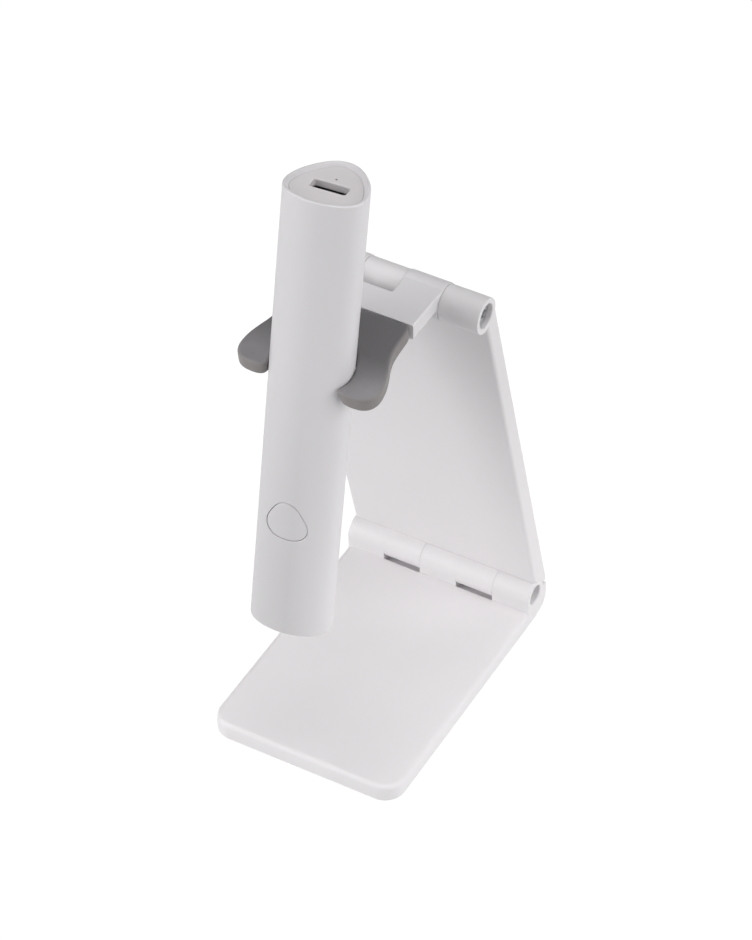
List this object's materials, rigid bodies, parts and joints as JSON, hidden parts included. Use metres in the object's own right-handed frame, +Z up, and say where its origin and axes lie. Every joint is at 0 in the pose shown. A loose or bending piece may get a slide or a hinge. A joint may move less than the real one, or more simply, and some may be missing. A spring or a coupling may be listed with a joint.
{
  "type": "uv led nail lamp",
  "caption": "Cordless nail-curing light wand with a front button and charging port, held in a soft claw on a folding desk stand with friction hinges.",
  "frame": {"origin": "on the stand's middle plane, 48.4 mm behind the base's front edge, on the face that rests on the table", "axes": "+Z up, -Y towards the front where the wand hangs, +X to the right seen from the front, along both hinges"},
  "size_m": [0.061, 0.1061, 0.2028],
  "materials": {
    "white_plastic": "fine satin moulded white",
    "cap_plastic": "fine matt moulded off-white",
    "claw_rubber": "soft-touch dark grey",
    "pad_rubber": "matt black",
    "steel": "plain steel",
    "plated_shell": "bright plated",
    "circuit_board": "green solder mask",
    "dark_plastic": "black moulded",
    "cell_wrap": "blue shrink sleeve",
    "tray_plastic": "natural moulded",
    "foam": "closed-cell foam",
    "red_wire": "red insulation",
    "black_wire": "black insulation",
    "aluminium": "plain",
    "reflector": "metallised",
    "clear_window": "clear",
    "emitter": "phosphor-free violet emitter under a clear dome"
  },
  "bodies": {
    "base": {"base_plate": "white_plastic", "base_bottom_cover": "white_plastic", "base_ballast": "steel", "base_pad": "pad_rubber", "base_screw_front_left": "steel", "base_screw_front_right": "steel", "base_screw_rear_left": "steel", "base_screw_rear_right": "steel", "lower_hinge_pin": "steel"},
    "upright": {"upright_plate": "white_plastic", "upper_hinge_screw": "steel", "upper_hinge_spring_washer": "steel", "upper_hinge_nut": "steel"},
    "arm": {"arm_bracket": "white_plastic", "holder_claw": "claw_rubber", "claw_screw_left": "steel", "claw_screw_right": "steel"},
    "wand": {"wand_casing": "white_plastic", "top_end_cap": "cap_plastic", "usb_receptacle": "plated_shell", "usb_contact_tongue": "dark_plastic", "charge_light_pipe": "clear_window", "charge_led": "emitter", "port_board": "circuit_board", "cell_foam_pad": "foam", "battery_cell": "cell_wrap", "battery_tray": "tray_plastic", "driver_board": "circuit_board", "driver_coil": "dark_plastic", "driver_chip": "dark_plastic", "tact_switch_body": "dark_plastic", "cell_lead_red": "red_wire", "cell_lead_black": "black_wire", "head_heat_sink": "aluminium", "led_board": "aluminium", "uv_led": "emitter", "reflector_cup": "reflector", "lens_window": "clear_window", "head_bezel": "cap_plastic"},
    "button": {"button_cap": "white_plastic", "switch_plunger": "dark_plastic"}
  },
  "joints": [
    {"name": "lower_hinge", "type": "hinge", "parent": "base", "child": "upright", "pos_m": [0, 0.0385, 0.0103], "axis": [1, 0, 0], "range_deg": [-8, 25]},
    {"name": "upper_hinge", "type": "hinge", "parent": "upright", "child": "arm", "pos_m": [0, 0.00199, 0.14626], "axis": [1, 0, 0], "range_deg": [-45, 30]},
    {"name": "wand_slide", "type": "slide", "parent": "arm", "child": "wand", "axis": [0, 0.1571, 0.9876], "range_m": [-0.01, 0.09]},
    {"name": "button_press", "type": "slide", "parent": "wand", "child": "button", "axis": [-0.0958, 0.983, -0.1564], "range_m": [0, 0.0005], "stiffness_N_per_m": 400, "springref_m": -0.0003}
  ]
}
